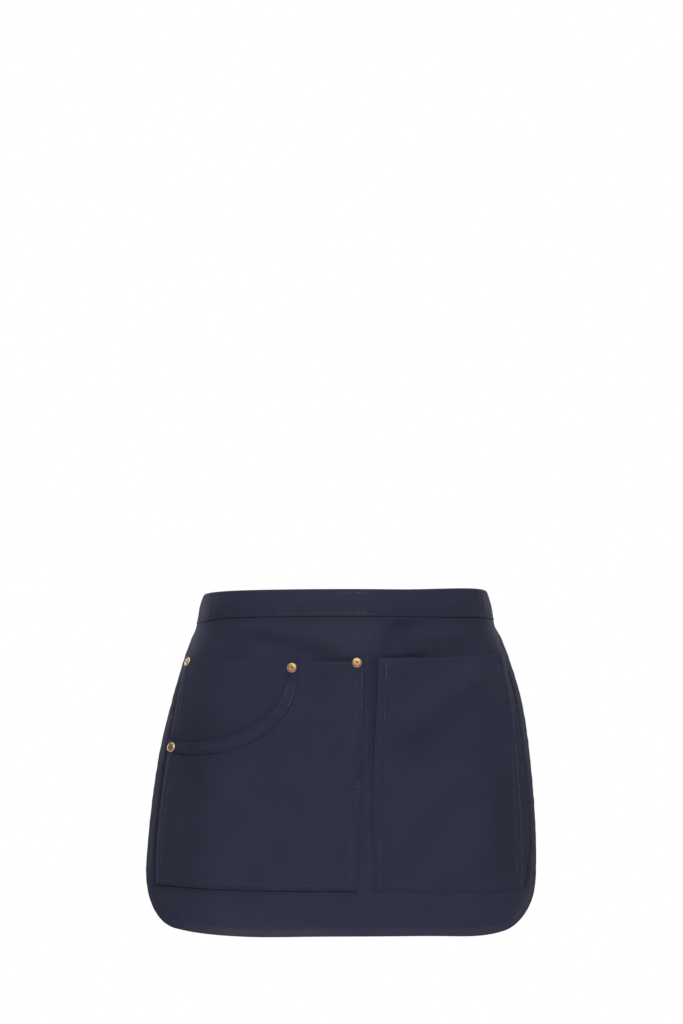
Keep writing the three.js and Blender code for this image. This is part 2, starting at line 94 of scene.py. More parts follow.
CAP_RADIUS, CAP_HEIGHT = 5.2, 2.3
SHANK_RADIUS, BURR_RADIUS, BURR_HEIGHT = 1.4, 4, 1
RIVET_HOLD = 8
PRESS_DEPTH, PRESS_REACH = 0.8, 8

# Worn form: drop, half width, half depth, front before the origin, sway to the right, squareness of the oval
SECTIONS = np.array([
    (0, 149, 97, 97, 0, 2.3),
    (28, 153, 96, 99, 0.4, 2.3),
    (70, 165.2, 89, 104, 0.7, 2.2),
    (120, 177.9, 79, 108, 0.8, 2.1),
    (180, 189.5, 71, 110, -1.6, 2),
    (260, 197.5, 64, 111, -3.8, 2),
    (360, 196.5, 62, 112, -6.8, 2),
], float)

# Folds: layer, (across, drop) points of the line, width, height
FOLDS = [
    ("body", [(-126, 130), (-130, 350)], 30, 5),
    ("body", [(132, 130), (136, 350)], 30, 4),
    ("panel", [(-6, 66), (22, 68)], 24, 6),
    ("panel", [(-100, 38), (-24, 56)], 11, 3.4),
    ("panel", [(-88, 50), (-16, 67)], 10, -3.2),
    ("panel", [(58, 34), (43, 66)], 11, -4.4),
    ("panel", [(112, 46), (70, 52)], 12, 3),
    ("behind", [(35, 71.5), (80, 70)], 2.6, -3.5),
    ("behind", [(-20, 76), (4, 75.5)], 5, -2),
    ("behind", [(38, 306.5), (110, 308.5), (185, 315)], 3.5, 0.8),
    ("behind", [(28.5, 76), (28.5, 170)], 4, -3.2),
    ("crease", [(-191, 100), (-191.5, 150), (-195, 225), (-196, 270), (-193.5, 306)], 2.2, -3),
    ("crease", [(186.5, 90), (192.5, 140), (199.3, 225), (201, 275), (194, 311)], 2.1, -2.6),
    ("left", [(-32, 74), (-4, 74)], 26, 2),
    ("mouth", [(-172, 205), (-172, 290)], 16, 1.6),
    ("mouth", [(-128, 160), (-78, 132)], 26, 3),
    ("right", [(52, 70), (92, 68)], 24, 4),
    ("right", [(122, 96), (60, 140)], 17, 7.5),
    ("right", [(104, 196), (40, 264)], 18, 7.5),
    ("right", [(140, 262), (100, 290)], 20, 4),
    ("right_edge", [(31, 78), (29, 160)], 7, 2.6),
    ("right_edge", [(29, 160), (31, 260)], 7, 0.8),
    ("right_edge", [(170, 68), (176, 70)], 7, 1.5),
]

# Rubbed thread: (across, drop) points of the line, reach, strength
RUBBED = [
    ([(-62, 24), (-20, 24)], 8, 0.5),
    ([(-12, 24), (16, 24)], 8, 1),
    ([(140, 24), (156, 24)], 6, 0.7),
    ([(-4, 4), (18, 4)], 7, 0.8),
    ([(15, 84), (15, 118)], 5, 0.9),
    ([(8, 92), (8, 160)], 4, 0.5),
    ([(8, 170), (8, 290)], 4, 0.2),
    ([(15, 194), (15, 206)], 4, 0.5),
    ([(8, 256), (8, 288)], 4, 0.4),
    ([(39.6, 71), (39.6, 88)], 6, 1),
    ([(38.6, 88), (38, 131)], 4, 0.6),
    ([(-57, 106), (-60, 118)], 8, 0.8),
    ([(-184, 86), (-184, 150)], 4, 0.5),
    ([(-177.4, 86), (-177.4, 150)], 4, 0.45),
    ([(-180, 200), (-183.4, 250), (-183.6, 290)], 3.5, 0.3),
    ([(181.3, 165), (187.6, 308)], 3.5, 0.65),
    ([(174.9, 165), (180.5, 290)], 3.5, 0.35),
]

# Painted shade and painted highlight on the cloth: (across, drop) points of the line, reach, paler above
# nought or darker below it
PAINTED_SHADING = [
    ([(-201, 140), (-203, 175)], 9, 0.28),
    ([(198, 120), (201, 175)], 9, 0.1),
    ([(-112, 343), (-15, 343)], 9, 0.15),
    ([(-120, 322), (-70, 322)], 12, 0.04),
    ([(188, 333), (203, 312)], 9, 0.17),
    ([(-205, 308), (-195, 330), (-160, 343)], 9, -0.16),
    ([(-50, 14), (15, 14)], 26, 0.05),
    ([(55, 14), (130, 14)], 20, -0.05),
    ([(-5, 48), (10, 48)], 20, 0.05),
    ([(0, 85), (0, 115)], 14, 0.04),
    ([(-140, 95), (-112, 100)], 24, -0.08),
    ([(60, 95), (150, 110)], 26, -0.05),
    ([(140, 125), (145, 175)], 14, -0.05),
    ([(-150, 140), (-158, 290)], 24, -0.15),
    ([(158, 200), (166, 285)], 20, -0.15),
    ([(60, 48), (140, 50)], 18, -0.09),
    ([(70, 150), (95, 150)], 22, -0.06),
]

# Rivets: CAD node, across, drop, layer under the cap
RIVETS = [
    ("rivet_top_left", -180.4, 76, "left"),
    ("rivet_top_right", 10.5, 75.5, "mouth"),
    ("rivet_mouth_top", -54, 80, "band"),
    ("rivet_mouth_side", -180.4, 168, "band"),
]


def ease(value, low, high):
    """Nought up to the low value, one past the high one, smooth between."""
    part = np.clip((value - low) / (high - low), 0, 1)
    return part * part * (3 - 2 * part)


def bell(distance, reach):
    return np.exp(-(distance / reach) ** 2)


def unit(vectors):
    return vectors / np.linalg.norm(vectors, axis=-1, keepdims=True)


# The worn form

RING_STEP = 2.5
RING_SAMPLES = 240
NUDGE = 3


def smooth_table(at, table):
    """Cubic curve through the table's rows, level at its two ends."""
    x, y = table[:, 0], table[:, 1:]
    secant = np.diff(y, axis=0) / np.diff(x)[:, None]
    slope = np.zeros_like(y)
    slope[1:-1] = (secant[1:] + secant[:-1]) / 2
    i = np.clip(np.searchsorted(x, at, side="right") - 1, 0, len(x) - 2)
    span = (x[i + 1] - x[i])[:, None]
    t = (at - x[i])[:, None] / span
    start = (1 + 2 * t) * (1 - t) ** 2 * y[i] + t * (1 - t) ** 2 * span * slope[i]
    end = t * t * (3 - 2 * t) * y[i + 1] + t * t * (t - 1) * span * slope[i + 1]
    return start + end


def make_rings():
    drops = np.arange(0, PANEL_LENGTH + 4 * RING_STEP, RING_STEP)
    turn = np.linspace(0, math.pi, RING_SAMPLES + 1)
    rings = []
    for half_width, half_depth, front, sway, power in smooth_table(drops, SECTIONS):
        forward = np.cos(turn)
        x = half_width * np.abs(np.sin(turn)) ** (2 / power)
        y = half_depth - front - half_depth * np.sign(forward) * np.abs(forward) ** (2 / power)
        arc = np.hstack([0, np.cumsum(np.hypot(np.diff(x), np.diff(y)))])
        rings.append((x, y, arc, sway))
    return rings


RINGS = make_rings()
LAST_LEVEL = len(RINGS) - 1.001
HALF_LOOP = RINGS[0][2][-1]


def threads(across):
    """Where threads of the cloth hang; a slope takes some of a thread's length."""
    reach = np.abs(across)
    share = (reach - PANEL_HALF) / (HALF_LOOP - PANEL_HALF)
    paths = []
    for x, y, arc, sway in RINGS:
        at = np.where(reach <= PANEL_HALF, reach, PANEL_HALF + share * (arc[-1] - PANEL_HALF))
        paths.append((np.sign(across) * np.interp(at, arc, x) + sway, np.interp(at, arc, y)))
    paths = np.array(paths)
    run = np.diff(paths, axis=0)
    fall = np.sqrt(RING_STEP ** 2 - (run ** 2).sum(axis=1))
    height = np.vstack([np.zeros(len(across)), -np.cumsum(fall, axis=0)])
    return np.stack([paths[:, 0], paths[:, 1], height], axis=2)


def form_points(across, drop):
    columns, which = np.unique(across.ravel(), return_inverse=True)
    hung = threads(columns)
    level = np.clip(drop.ravel() / RING_STEP, 0, LAST_LEVEL)
    low = level.astype(int)
    part = (level - low)[:, None]
    points = hung[low, which] * (1 - part) + hung[low + 1, which] * part
    points[:, 2] -= np.minimum(drop.ravel(), 0)
    return points.reshape(across.shape + (3,))


def outward_at(across, drop):
    level = np.maximum(drop, 0)
    sideways = form_points(across + NUDGE, level) - form_points(across - NUDGE, level)
    downward = form_points(across, level + NUDGE) - form_points(across, np.maximum(level - NUDGE, 0))
    return unit(np.cross(downward, sideways))


# Folds and layers

def ridge(points, width, across, drop):
    """A soft ridge along a line of the pattern, one on the line itself."""
    nearest = np.full(np.shape(across), np.inf)
    for (from_across, from_drop), (to_across, to_drop) in zip(points, points[1:]):
        run, fall = to_across - from_across, to_drop - from_drop
        along = ((across - from_across) * run + (drop - from_drop) * fall) / (run ** 2 + fall ** 2)
        along = np.clip(along, 0, 1)
        away = np.hypot(across - from_across - along * run, drop - from_drop - along * fall)
        nearest = np.minimum(nearest, away)
    return bell(nearest, width)


def folds_on(layer, across, drop):
    folds = [fold for on, *fold in FOLDS if on == layer]
    return sum(height * ridge(points, width, across, drop) for points, width, height in folds)


def rivet_distances(across, drop):
    return [np.hypot(across - at_across, drop - at_drop) for _, at_across, at_drop, _ in RIVETS]


def panel_fold(across, drop):
    """How far the panel stands off the worn form: its folds, pressed in under the rivets."""
    clear_of_band = ease(drop, BAND_HEIGHT, BAND_HEIGHT + FOLD_START)
    gathers = folds_on("panel", across, drop) * (1 - ease(drop, *FOLD_FADE))
    pressed = sum(bell(away, PRESS_REACH) for away in rivet_distances(across, drop))
    return (gathers + folds_on("body", across, drop)) * clear_of_band - PRESS_DEPTH * pressed


def place(across, drop, stand_off):
    lift = panel_fold(across, drop) + stand_off
    return form_points(across, drop) + outward_at(across, drop) * lift[..., None]


def drooping(across, drop, droop, power):
    return drop + droop * (np.abs(across) / abs(LEFT_OUTER)) ** power


def bottom_edge(across):
    """Of the left pocket as far as its inner side, and of the right pocket past that."""
    return np.where(across <= LEFT_INNER, drooping(across, *LEFT_BOTTOM), drooping(across, *RIGHT_BOTTOM))


def hem_length(across):
    return PANEL_LENGTH + sum(depth * bell(across - at, reach) for at, reach, depth in HEM_SAGS)


def panel_bottom(across):
    into_corner = np.clip((np.abs(across) - PANEL_HALF) / CORNER_WIDTH + 1, 0, 1)
    height = np.where(across < 0, *CORNER_HEIGHTS)
    return hem_length(across) - height * (1 - np.sqrt(1 - into_corner ** 2))


def panel_half(drop):
    return PANEL_HALF_TOP + (PANEL_HALF - PANEL_HALF_TOP) * drop / PANEL_LENGTH


def lean_out(across, drop):
    """Spreads the panel's side columns to its leaning edges; the front stays upright."""
    reach = np.abs(across)
    share = (reach - SIDE_START) / (PANEL_HALF - SIDE_START)
    leaning = SIDE_START + share * (panel_half(drop) - SIDE_START)
    return np.sign(across) * np.where(reach > SIDE_START, leaning, reach)


def left_top(across):
    sag = ease(across, *LEFT_SAG_START) * (1 - ease(across, *LEFT_SAG_END))
    return POCKET_TOP + LEFT_SAG * sag


def right_top(across):
    along = (across - RIGHT_INNER_TOP) / (RIGHT_OUTER_TOP - RIGHT_INNER_TOP)
    return POCKET_TOP - RIGHT_RISE * ease(along, *RIGHT_RISE_SPAN)


def left_outer_edge(drop):
    at = np.clip(np.ravel(drop), LEFT_EDGE[0, 0], LEFT_EDGE[-1, 0])
    return smooth_table(at, LEFT_EDGE)[:, 0].reshape(np.shape(drop))


def left_inner_edge(drop):
    return np.full_like(np.asarray(drop, float), LEFT_INNER)


def down_the_pocket(drop):
    return (np.asarray(drop, float) - POCKET_TOP) / (POCKET_BOTTOM - POCKET_TOP)


def right_outer_edge(drop):
    return RIGHT_OUTER_TOP + down_the_pocket(drop) * (RIGHT_OUTER_BOTTOM - RIGHT_OUTER_TOP)


def right_inner_edge(drop):
    down = down_the_pocket(drop)
    bow = RIGHT_INNER_BOW * np.sin(math.pi * down)
    return RIGHT_INNER_TOP + down * (RIGHT_INNER_BOTTOM - RIGHT_INNER_TOP) - bow


def mouth_point(turn, share):
    """Turn 0 is the upper end; share 0 lies on the mouth's edge, 1 on the far edge of its band."""
    reach, depth, power = (edge + share * (far - edge) for edge, far in zip(MOUTH_EDGE, MOUTH_FAR))
    across = LEFT_OUTER + reach * np.cos(turn) ** (2 / power)
    return across, POCKET_TOP + depth * np.sin(turn) ** (2 / power)


def mouth_drop(across):
    reach, depth, power = MOUTH_EDGE
    along = np.clip((across - LEFT_OUTER) / reach, 0, 1)
    return np.maximum(POCKET_TOP + depth * (1 - along ** power) ** (1 / power), left_top(across))


def pocket_edge(inner, outer, across, drop):
    """Distance to the nearest sewn edge of a pocket: its two sides and its bottom."""
    sides = np.minimum(np.abs(across - inner), np.abs(across - outer))
    return np.minimum(sides, np.maximum(bottom_edge(across) - drop, 0))


def left_edge(across, drop):
    return pocket_edge(LEFT_INNER, left_outer_edge(drop), across, drop)


def right_edge(across, drop):
    return pocket_edge(right_inner_edge(drop), right_outer_edge(drop), across, drop)


def looseness(edge, across, drop):
    """Nought on a sewn edge and under a rivet, one well inside the pocket."""
    nearest = np.minimum.reduce([edge, *(away - RIVET_HOLD for away in rivet_distances(across, drop))])
    return ease(nearest, 0, SEWN_REACH)


# How far the middle of each layer stands off the panel

def left_layer(across, drop):
    loose = looseness(left_edge(across, drop), across, drop)
    return LAYER_PITCH + folds_on("left", across, drop) * loose


def mouth_lift(across, drop):
    eased = OUTER_EASE * folds_on("left", across, drop) + folds_on("mouth", across, drop)
    return eased * looseness(left_edge(across, drop), across, drop)


def mouth_layer(across, drop):
    return 2 * LAYER_PITCH + mouth_lift(across, drop)


def strip_layer(across, drop):
    return 3 * LAYER_PITCH + mouth_lift(across, drop)


def right_layer(across, drop):
    loose = looseness(right_edge(across, drop), across, drop)
    lift = folds_on("right", across, drop) * loose + folds_on("right_edge", across, drop)
    return LAYER_PITCH + lift


LAYERS_UNDER_RIVETS = {"left": left_layer, "mouth": mouth_layer, "band": strip_layer}


# Surface detail of sewn cloth

GROOVE_DEPTH, GROOVE_WIDTH = 0.32, 0.9
PUCKER_HEIGHT, PUCKER_LENGTH, PUCKER_REACH = 0.28, 11, 9
RIPPLE_HEIGHT, RIPPLE_LENGTH = 0.22, 46
WAVES, WAVE_LENGTHS = 7, (0.7, 1.5)
TURNING, TURNING_WIDTH, TURNING_PUFF, TURNING_SOFT = 0.6, 9.9, 0.35, 0.8
ROLL, TIGHT_ROLL, ROLL_DEPTH = 1.7, 0.8, 0.93

# Seeds of the uneven waves; a piece's further waves count on from its own
PANEL_SEED, INNER_SEED, OUTER_SEED, STRIP_SEED = 11, 21, 31, 41
RIGHT_SEED, BAND_SEED, THREAD_SEED = 51, 61, 71


def ripples(across, drop, length, seed):
    """Gentle uneven waves of about one length, about one high."""
    chance = np.random.default_rng(seed)
    total = np.zeros_like(across)
    for _ in range(WAVES):
        heading = chance.uniform(0, math.pi)
        pitch = length * chance.uniform(*WAVE_LENGTHS)
        phase = chance.uniform(0, 2 * math.pi)
        total += np.sin(2 * math.pi * (across * math.cos(heading) + drop * math.sin(heading)) / pitch + phase)
    return total / math.sqrt(WAVES)


def swell(edge, span, across, drop, seed):
    """Unevenness of the cloth away from its seams; the span says where it fades in."""
    return RIPPLE_HEIGHT * ripples(across, drop, RIPPLE_LENGTH, seed) * ease(edge, *span)


def grooves(distance, rows):
    return sum(bell(distance - row, GROOVE_WIDTH) for row in rows)


def sewn(edge, rows, across, drop, seed):
    """Grooves along the stitched rows and the puckers that they draw beside them."""
    beside = bell(edge - rows[-1], PUCKER_REACH)
    puckers = PUCKER_HEIGHT * beside * ripples(across, drop, PUCKER_LENGTH, seed)
    return puckers - GROOVE_DEPTH * grooves(edge, rows)


def roll_down(edge, thickness=CLOTH, roll=ROLL):
    """How far the front skin rolls down towards a folded edge."""
    inside = np.clip(edge / roll, 0, 1)
    return ROLL_DEPTH * thickness * (1 - np.sqrt(1 - (1 - inside) ** 2))


def turned_edge(edge):
    """The turning under a pocket's edge: thicker cloth, puffed between its two rows of stitches."""
    inner, outer = POCKET_ROWS
    turning = TURNING * (1 - ease(edge, TURNING_WIDTH - TURNING_SOFT, TURNING_WIDTH + TURNING_SOFT))
    puff = TURNING_PUFF * np.sin(math.pi * np.clip((edge - inner) / (outer - inner), 0, 1))
    return turning + puff - roll_down(edge, CLOTH + TURNING)


# Mesh making

LEAST_WALL = 0.1
EDGE_STEPS = np.array([0, 0.12, 0.35, 0.7, 1.2, 2, 2.8, 3.8, 5, 6.4, 7.6, 8.6, 9.6, 11, 13])


def graded_drops(top, bottom, rows):
    """For each column, drops between its two edges, close together along both."""
    share = np.linspace(0, 1, rows + 1)[1:-1]
    first = top[:, None] + EDGE_STEPS
    last = bottom[:, None] - EDGE_STEPS[::-1]
    middle = first[:, -1:] + (last[:, :1] - first[:, -1:]) * share
    return np.hstack([first, middle, last])


def graded(low, high, pitch):
    """Columns between two edges, close together along both."""
    count = round((high - low - 2 * EDGE_STEPS[-1]) / pitch)
    return graded_drops(np.array([low]), np.array([high]), count)[0]


def add_object(name, data):
    made = bpy.data.objects.new(name, data)
    bpy.context.collection.objects.link(made)
    return made


def finish_mesh(name, points, faces, across, drop, **attributes):
    """A smooth object that keeps its place on the pattern as a UV map."""
    mesh = bpy.data.meshes.new(name)
    mesh.from_pydata((points * MM).tolist(), [], faces)
    mesh.shade_smooth()
    loops = np.zeros(len(mesh.loops), np.int32)
    mesh.loops.foreach_get("vertex_index", loops)
    flat = np.stack([across[loops], -drop[loops]], axis=1) * MM
    mesh.uv_layers.new(name="pattern").data.foreach_set("uv", flat.ravel())
    for title, values in attributes.items():
        mesh.attributes.new(title, "FLOAT", "POINT").data.foreach_set("value", values)
    return add_object(name, mesh)


def shell(name, across, drop, front, back, wear):
    """A closed sheet from a grid of pattern points (columns by rows) between two stand-offs."""
    front = np.maximum(front, back + LEAST_WALL)
    points = np.vstack([place(across, drop, skin).reshape(-1, 3) for skin in (front, back)])
    at = np.arange(across.size).reshape(across.shape)
    quads = np.stack([at[:-1, :-1], at[:-1, 1:], at[1:, 1:], at[1:, :-1]], axis=2).reshape(-1, 4)
    border = np.hstack([at[0, :], at[1:, -1], at[-1, -2::-1], at[-2::-1, 0]])
    rim = np.stack([border[1:], border[:-1]], axis=1)
    wall = np.hstack([rim, rim[:, ::-1] + at.size])
    faces = np.vstack([quads, quads[:, ::-1] + at.size, wall]).tolist()
    across, drop, wear = (np.tile(values.ravel(), 2) for values in (across, drop, wear))
    return finish_mesh(name, points, faces, across, drop, wear=wear)


def tube(rings, sides):
    """The quads between rings of points, and the two end rings, turned to face outward."""
    here = np.arange(rings * sides).reshape(rings, sides)
    beside = np.roll(here, -1, axis=1)
    quads = np.stack([here[:-1], beside[:-1], beside[1:], here[1:]], axis=2)
    return quads.reshape(-1, 4).tolist(), [here[0, ::-1].tolist(), here[-1].tolist()]


# Cloth pieces

# Grids: pitch of the columns, rows between the edges
PANEL_GRID, INNER_GRID, OUTER_GRID, RIGHT_GRID = (3, 82), (3.5, 54), (3, 54), (3, 70)

# Distances from the edge over which a piece's swell fades in
PANEL_SWELL, INNER_SWELL, POCKET_SWELL = (8, 40), (4, 30), (6, 40)

# The panel: how it fills the seam under the band, where its relief begins, and its hem
SEAM_FILL, SIDE_FILL, SEAM_REACH, SEAM_START = 1.1, 0.7, 5, 1.1
FILL_LEFT, FILL_RIGHT, FILL_STEP, FILL_LEVEL = (-115, -50), (70, 120), (-0.3, 0.6), 1
RELIEF_START = (BAND_HEIGHT + 2, BAND_HEIGHT + 20)
HEM_START, HEM_SOFT, HEM_DOUBLING = (BAND_HEIGHT + 0.5, BAND_HEIGHT + 1.5), 0.4, 0.8
BOTTOM_ZONE, CORNER_ZONE = (PANEL_LENGTH - 58, PANEL_LENGTH - 16), (145, 195)
FLARE_POWER = 1.5

# Paler along the hem, partly wear and partly painted highlight; paler right along the pockets' edges; painted
# shade in the creases beside the pockets
SIDE_WORN_AND_LIT, BOTTOM_WORN_AND_LIT, HEM_PALING_SPAN = 0.31, 0.1, (5, HEM_WIDTH)
EDGE_PALING, EDGE_PALING_SPAN = 0.05, (0.5, 2.5)
# Painted shade: how much the creases beside the pockets darken the cloth, per millimetre of their depth
CREASE_SHADE = 0.17

# The pockets: how flat their outer sides and bottoms lie, insets, tucks and the strip along the mouth
LEFT_FLAT, RIGHT_FLAT, FLAT_REACH = (1.3, 0.35), (1, 0.7), 8
INNER_INSET, INNER_SHARE = 1.4, 0.5
MOUTH_FADE = (-6, -1)
SPREAD_REACH = 60
STEEP_STEPS = np.array([0.2, 0.6, 1.2, 2, 3, 4.2])
BACK_TUCK, FRONT_TUCK = (0.2, 1.2), (0, 0.9)
STRIP_RIPPLE, STRIP_RIPPLE_LENGTH = 0.25, 14
STRIP_STATIONS, STRIP_SPACING = 150, 1.25
RIGHT_SEAT = 0.7 * GAP


def panel_edge(across, drop):
    """Distance to the panel's side or bottom edge."""
    half, length = panel_half(drop), hem_length(across)
    into_side = (np.abs(across) - half) / CORNER_WIDTH + 1
    into_bottom = (drop - length) / np.where(across < 0, *CORNER_HEIGHTS) + 1
    corner = CORNER_WIDTH * (1 - np.hypot(into_side, into_bottom))
    straight = np.minimum(half - np.abs(across), length - drop)
    return np.where((into_side > 0) & (into_bottom > 0), corner, straight)


def hem_flare(edge, across, drop):
    """The hem turns a little outward at its edge, most along the bottom."""
    side = np.where(across < 0, *SIDE_FLARES)
    corner = np.where(across < 0, *CORNER_FLARES)
    bottom = BOTTOM_FLARE + (corner - BOTTOM_FLARE) * ease(np.abs(across), *CORNER_ZONE)
    flare = side + (bottom - side) * ease(drop, *BOTTOM_ZONE)
    return flare * np.clip(1 - edge / FLARE_REACH, 0, 1) ** FLARE_POWER


def seam_fill(across, drop):
    """The panel swells up to the band's lower edge, most in the middle of the front."""
    middle = ease(across, *FILL_LEFT) * (1 - ease(across, *FILL_RIGHT))
    height = SIDE_FILL + (SEAM_FILL - SIDE_FILL) * middle
    below = drop - band_foot(across)
    easing = bell(np.maximum(below - FILL_LEVEL, 0), SEAM_REACH)
    return height * ease(below, *FILL_STEP) * easing


# Painted shade and painted highlight, summed from the table
def painted_shading(across, drop):
    return sum(strength * ridge(points, reach, across, drop) for points, reach, strength in PAINTED_SHADING)


def panel_wear(across, drop):
    """Paler along the hems, partly wear and partly painted highlight; painted shade in the creases beside the
    pockets; and the table's painted shade and highlight.
    """
    hem = SIDE_WORN_AND_LIT + (BOTTOM_WORN_AND_LIT - SIDE_WORN_AND_LIT) * ease(drop, *BOTTOM_ZONE)
    # Paler hem: partly wear, partly painted highlight
    rubbed = hem * (1 - ease(panel_edge(across, drop), *HEM_PALING_SPAN))
    return painted_shading(across, drop) + rubbed + CREASE_SHADE * folds_on("crease", across, drop)


# The table's painted shade and highlight, and paler right along the pockets' edges
def pocket_wear(edge, across, drop):
    return painted_shading(across, drop) + EDGE_PALING * (1 - ease(edge, *EDGE_PALING_SPAN))


def flattened(outer, bottom, at_side, at_bottom):
    """How much flatter a pocket lies along its outer side and its bottom."""
    beside = at_side * (1 - ease(outer, 0, FLAT_REACH))
    return beside + at_bottom * (1 - ease(bottom, 0, FLAT_REACH))


def panel_front(across, drop):
    edge = panel_edge(across, drop)
    uneven = swell(edge, PANEL_SWELL, across, drop, PANEL_SEED)
    hem = sewn(edge, (HEM_ROW,), across, drop, PANEL_SEED + 1)
    drawn_in = folds_on("behind", across, drop) + folds_on("crease", across, drop)
    relief = uneven + hem + drawn_in + hem_flare(edge, across, drop)
    held = ease(drop, *RELIEF_START)
    return CLOTH / 2 + relief * held + seam_fill(across, drop) - roll_down(edge)


def panel_back(across, drop):
    """The back skin, lower where the hem is turned under."""
    edge = panel_edge(across, drop)
    turned = 1 - ease(edge, HEM_WIDTH - HEM_SOFT, HEM_WIDTH + HEM_SOFT)
    doubled = turned * ease(drop, *HEM_START)
    level = panel_front(across, drop) + (1 + HEM_DOUBLING) * roll_down(edge)
    return level - CLOTH * (1 + HEM_DOUBLING * doubled)


def make_panel():
    pitch, rows = PANEL_GRID
    columns = graded(-PANEL_HALF, PANEL_HALF, pitch)
    seam = band_foot(columns) - SEAM_START
    tucked = np.full((len(columns), 1), float(PANEL_TOP))
    drop = np.hstack([tucked, graded_drops(seam, panel_bottom(columns), rows)])
    across = lean_out(columns[:, None], drop)
    wear = panel_wear(across, drop)
    return shell("panel_cloth", across, drop, panel_front(across, drop), panel_back(across, drop), wear)


def to_left_edge(across, drop):
    """Spreads the left pocket's nearest columns to its outer edge; the others stay upright."""
    share = np.clip(1 - (across - LEFT_OUTER) / SPREAD_REACH, 0, 1)
    return across + share * (left_outer_edge(drop) - LEFT_OUTER)


def inner_front(across, drop):
    edge = left_edge(across, drop)
    below_top = drop - left_top(across)
    uneven = INNER_SHARE * swell(edge, INNER_SWELL, across, drop, INNER_SEED)
    hem = sewn(below_top, (TOP_HEM_ROW,), across, drop, INNER_SEED + 1)
    above_mouth = 1 - ease(drop - mouth_drop(across), *MOUTH_FADE)
    rim = turned_edge(edge) * above_mouth - roll_down(edge) * (1 - above_mouth)
    top_roll = roll_down(below_top, CLOTH, TIGHT_ROLL)
    return left_layer(across, drop) + CLOTH / 2 + uneven + hem + rim - top_roll


def make_left_inner():
    pitch, rows = INNER_GRID
    columns = graded(LEFT_OUTER + INNER_INSET / 2, LEFT_INNER - INNER_INSET, pitch)
    drop = graded_drops(left_top(columns), bottom_edge(columns) - INNER_INSET, rows)
    across = to_left_edge(columns[:, None], drop)
    back = left_layer(across, drop) - CLOTH / 2
    wear = pocket_wear(left_edge(across, drop), across, drop)
    return shell("pocket_left_inner_cloth", across, drop, inner_front(across, drop), back, wear)


def patch_front(edge, below_top, across, drop, seed):
    """The front of a patch above its layer: its swell, seams, turnings and rolled top."""
    detail = swell(edge, POCKET_SWELL, across, drop, seed) + turned_edge(edge)
    detail += sewn(edge, POCKET_ROWS, across, drop, seed + 1)
    return CLOTH / 2 + detail - roll_down(below_top, CLOTH, TIGHT_ROLL)


def outer_front(across, drop):
    below_mouth = drop - mouth_drop(across)
    front = patch_front(left_edge(across, drop), below_mouth, across, drop, OUTER_SEED)
    flat = flattened(across - left_outer_edge(drop), bottom_edge(across) - drop, *LEFT_FLAT)
    return mouth_layer(across, drop) + front - flat


def make_left_outer():
    """The outer layer, tucked in along its sewn edges; its columns are close where the mouth is steep."""
    pitch, rows = OUTER_GRID
    steep = LEFT_OUTER + MOUTH_EDGE[0] - STEEP_STEPS
    columns = np.unique(np.hstack([graded(LEFT_OUTER, LEFT_INNER, pitch), steep]))
    drop = graded_drops(mouth_drop(columns), bottom_edge(columns), rows)
    across = to_left_edge(columns[:, None], drop)
    edge = left_edge(across, drop)
    tucked = LAYER_PITCH * (1 - ease(edge, *BACK_TUCK))
    front = outer_front(across, drop) - tucked * (1 - ease(edge, *FRONT_TUCK))
    back = mouth_layer(across, drop) - CLOTH / 2 - tucked
    wear = pocket_wear(edge, across, drop)
    return shell("pocket_left_outer_cloth", across, drop, front, back, wear)


def strip_front(across, drop, share):
    edge = STRIP_WIDTH * np.minimum(share, 1 - share)
    uneven = STRIP_RIPPLE * ripples(across, drop, STRIP_RIPPLE_LENGTH, STRIP_SEED + 1)
    detail = sewn(edge, POCKET_ROWS[:1], across, drop, STRIP_SEED) + uneven
    return strip_layer(across, drop) + CLOTH / 2 + detail - roll_down(edge)


def make_mouth_band():
    from_edge = EDGE_STEPS[EDGE_STEPS < STRIP_WIDTH / 2] / STRIP_WIDTH
    shares = np.hstack([from_edge, 0.5, 1 - from_edge[::-1]])
    turn = (math.pi / 2) * (1 - np.linspace(0, 1, STRIP_STATIONS) ** STRIP_SPACING)
    share = np.repeat(shares[None, :], len(turn), axis=0)
    across, drop = mouth_point(turn[:, None], share)
    drop = np.maximum(drop, left_top(across) + GAP)
    front = strip_front(across, drop, share)
    back = strip_layer(across, drop) - CLOTH / 2 - GAP
    # The strip's cloth carries the table's painted shade and painted highlight
    return shell("mouth_band_cloth", across, drop, front, back, painted_shading(across, drop))


def right_front(across, drop):
    below_top = drop - right_top(across)
    front = patch_front(right_edge(across, drop), below_top, across, drop, RIGHT_SEED)
    hem = sewn(below_top, (TOP_HEM_ROW,), across, drop, RIGHT_SEED + 2)
    flat = flattened(right_outer_edge(drop) - across, bottom_edge(across) - drop, *RIGHT_FLAT)
    return right_layer(across, drop) + front + hem - flat


def make_right():
    pitch, rows = RIGHT_GRID
    columns = graded(RIGHT_INNER_TOP, RIGHT_OUTER_BOTTOM, pitch)
    drop = graded_drops(right_top(columns), bottom_edge(columns), rows)
    share = ((columns - RIGHT_INNER_TOP) / (RIGHT_OUTER_BOTTOM - RIGHT_INNER_TOP))[:, None]
    across = right_inner_edge(drop) + share * (right_outer_edge(drop) - right_inner_edge(drop))
    back = right_layer(across, drop) - CLOTH / 2 - RIGHT_SEAT
    wear = pocket_wear(right_edge(across, drop), across, drop)
    return shell("pocket_right_cloth", across, drop, right_front(across, drop), back, wear)


# The waistband: a folded strip swept round the waist

